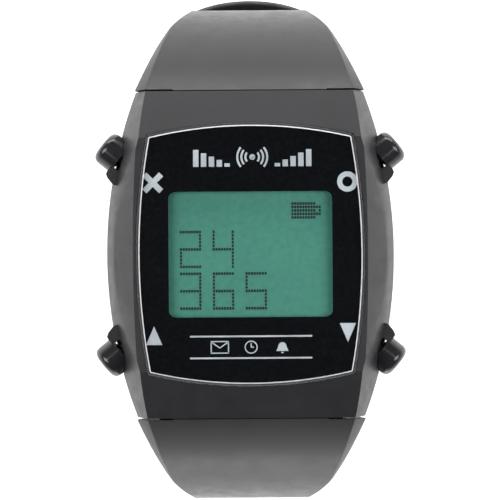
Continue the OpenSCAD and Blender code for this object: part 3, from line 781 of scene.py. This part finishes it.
def display_dots():
    cells = battery_dots(*BATTERY_CELL)
    for text, row in TEXT_ROWS:
        for i, digit in enumerate(text):
            cells |= digit_dots(digit, TEXT_START + TEXT_STEP * i, row)
    points, faces = [], []
    half = DOT_PITCH * DOT_FILL / 2
    low, high = DISPLAY_TOP + DOT_LIFT, DISPLAY_TOP + DOT_TOP
    for column, row in sorted(cells):
        x = (column + 0.5 - DOT_COLUMNS / 2) * DOT_PITCH.x
        y = (DOT_ROWS / 2 - row - 0.5) * DOT_PITCH.y
        start = len(points)
        points += [(x + sx * half.x, y + sy * half.y, z) for z in (low, high)
                   for sx, sy in ((-1, -1), (1, -1), (1, 1), (-1, 1))]
        faces += [[start + k for k in face] for face in
                  ((3, 2, 1, 0), (4, 5, 6, 7), (0, 1, 5, 4), (1, 2, 6, 5), (2, 3, 7, 6), (3, 0, 4, 7))]
    dots = object_from("display_dots", points, faces)
    dress(dots, "display_ink")
    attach(dots, "case")


def bar(x, y, half_x, half_y):
    return [(x + side * half_x, y + end * half_y) for side, end in ((-1, -1), (1, -1), (1, 1), (-1, 1))]


def band(x, y, radius, width, start, end, steps=24):
    """Part of a ring, from the start angle to the end angle in degrees."""
    angles = [math.radians(start + (end - start) * i / steps) for i in range(steps + 1)]
    outer, inner = ([(x + r * math.cos(a), y + r * math.sin(a)) for a in angles]
                    for r in (radius + width / 2, radius - width / 2))
    return outer + inner[::-1]


def stroke(first, last, width):
    along = (Vector(last) - Vector(first)).normalized() * width / 2
    across = Vector((-along.y, along.x))
    return [Vector(first) - across, Vector(last) - across, Vector(last) + across, Vector(first) + across]


def signal_sign(x, y):
    """A sender between waves, with level blocks that rise outward on both sides."""
    outlines = [band(x, y, 0.21, 0.42, 0, 360)]
    for radius in (1.0, 1.6, 2.2):
        outlines += [band(x, y, radius, 0.3, turn - 40, turn + 40) for turn in (0, 180)]
    for step in range(5):
        half_height = 0.25 * (step + 1)
        outlines += [bar(x + side * (3.7 + 1.15 * step), y - 1.4 + half_height, 0.4, half_height)
                     for side in (-1, 1)]
    return outlines


def envelope_sign(x, y):
    outlines = []
    for side in (-1, 1):
        outlines += [bar(x, y + side * 0.85, 1.35, SIGN_LINE / 2),
                     bar(x + side * 1.27, y, SIGN_LINE / 2, 0.85),
                     stroke((x + side * 1.27, y + 0.8), (x, y - 0.1), SIGN_LINE)]
    return outlines


def clock_sign(x, y):
    hands = [stroke((x, y), end, SIGN_LINE) for end in ((x, y + 0.6), (x + 0.42, y))]
    return [band(x, y, 0.88, SIGN_LINE, 0, 360, 40)] + hands


def bell_sign(x, y):
    dome = band(x, y + 0.1, 0.3, 0.6, 0, 180)
    skirt = [(x - 0.9, y - 0.6), (x + 0.9, y - 0.6), (x + 0.6, y + 0.1), (x - 0.6, y + 0.1)]
    clapper = band(x, y - 0.72, 0.1, 0.2, 180, 360)
    return [dome, skirt, clapper]


def printed_signs():
    """Plain signs in pale ink where a maker would print names, level with the other printed marks."""
    low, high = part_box("printed_marks")[0].z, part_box("printed_marks")[1].z
    outlines = signal_sign(*SIGNAL_PLACE)
    for sign, x in zip((envelope_sign, clock_sign, bell_sign), SMALL_SIGNS_X):
        outlines += sign(x, SMALL_SIGNS_Y)
    points, faces = [], []
    for outline in outlines:
        start, count = len(points), len(outline)
        points += [(x * MM, y * MM, z) for z in (low, high) for x, y in outline]
        faces.append([start + i for i in range(count)][::-1])
        faces.append([start + count + i for i in range(count)])
        faces += [[start + i, start + (i + 1) % count, start + count + (i + 1) % count, start + count + i]
                  for i in range(count)]
    signs = object_from("printed_signs", points, faces)
    fix_normals(signs)
    dress(signs, "print_pale")
    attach(signs, "case")


# ---------------------------------------------------------------- stage

def add_area(name, place, target, size, power):
    data = bpy.data.lights.new(name, "AREA")
    data.shape = "RECTANGLE"
    data.size, data.size_y = size
    data.energy = power
    light = make_object(name, data)
    light.location = place
    light.visible_camera = False
    light.rotation_euler = (Vector(target) - Vector(place)).to_track_quat("-Z", "Y").to_euler()


def add_world():
    """Bright at and below the horizon, dim overhead, so that the flat front stays dark."""
    world = bpy.data.worlds.new("studio")
    bpy.context.scene.world = world
    world.use_nodes = True
    tree = world.node_tree
    tree.nodes.clear()
    place = tree.nodes.new("ShaderNodeTexCoord")
    split = tree.nodes.new("ShaderNodeSeparateXYZ")
    ramp = tree.nodes.new("ShaderNodeValToRGB")
    background = tree.nodes.new("ShaderNodeBackground")
    output = tree.nodes.new("ShaderNodeOutputWorld")
    tree.links.new(place.outputs["Generated"], split.inputs["Vector"])
    tree.links.new(split.outputs["Z"], ramp.inputs["Fac"])
    tree.links.new(ramp.outputs["Color"], background.inputs["Color"])
    tree.links.new(background.outputs["Background"], output.inputs["Surface"])
    steps = ramp.color_ramp.elements
    steps[0].position, steps[0].color = HORIZON_TOP, (*HORIZON_COLOUR, 1)
    steps[1].position, steps[1].color = OVERHEAD_START, (*OVERHEAD_COLOUR, 1)
    background.inputs["Strength"].default_value = 1.0


def add_floor():
    corners = [(x * FLOOR_HALF, y * FLOOR_HALF, FLOOR_Z) for x, y in ((-1, -1), (1, -1), (1, 1), (-1, 1))]
    floor = object_from("floor", corners, [[0, 1, 2, 3]])
    g = Graph("floor")
    cloud = g.noise(0.2, 2)
    g.principled(Base_Color=g.colours(cloud, (0.86, 0.86, 0.86), (0.9, 0.9, 0.9)), Roughness=0.8,
                 Emission_Color=(1, 1, 1, 1), Emission_Strength=FLOOR_GLOW)
    floor.data.materials.append(g.material)


def add_camera():
    data = bpy.data.cameras.new("camera")
    data.lens = CAMERA_LENS
    camera = make_object("camera", data)
    camera.location = (CAMERA_X, CAMERA_Y, FRONT_Z + CAMERA_DISTANCE)
    camera.rotation_euler = (0, 0, CAMERA_ROLL)
    bpy.context.scene.camera = camera


MATERIALS = make_materials()
add_camera()
add_world()
add_floor()
add_area("key", (0, 0.5, 0.17), (0, 0.02, 0), (0.6, 0.16), 1.6)
add_area("high_left", (-0.36, 0, 0.46), (0, 0, 0), (0.3, 0.4), 1.55)
add_area("high_right", (0.36, 0, 0.46), (0, 0, 0), (0.3, 0.4), 1.55)
add_area("bounce", (0, -0.15, -0.04), (0, -0.035, -0.005), (0.2, 0.02), 0.03)
bpy.context.scene.view_settings.view_transform = "Standard"

dress_cad_nodes()
for node, width in EDGE_WIDTHS.items():
    soften_cad(node, width)
soften_lens()
for corner in CORNERS:
    soften_cad("button_cap_" + corner, CAP_EDGE_WIDTH)
    return_spring(corner)
display_dots()
printed_signs()
buckle_half()
tip_half()
loose_keeper()
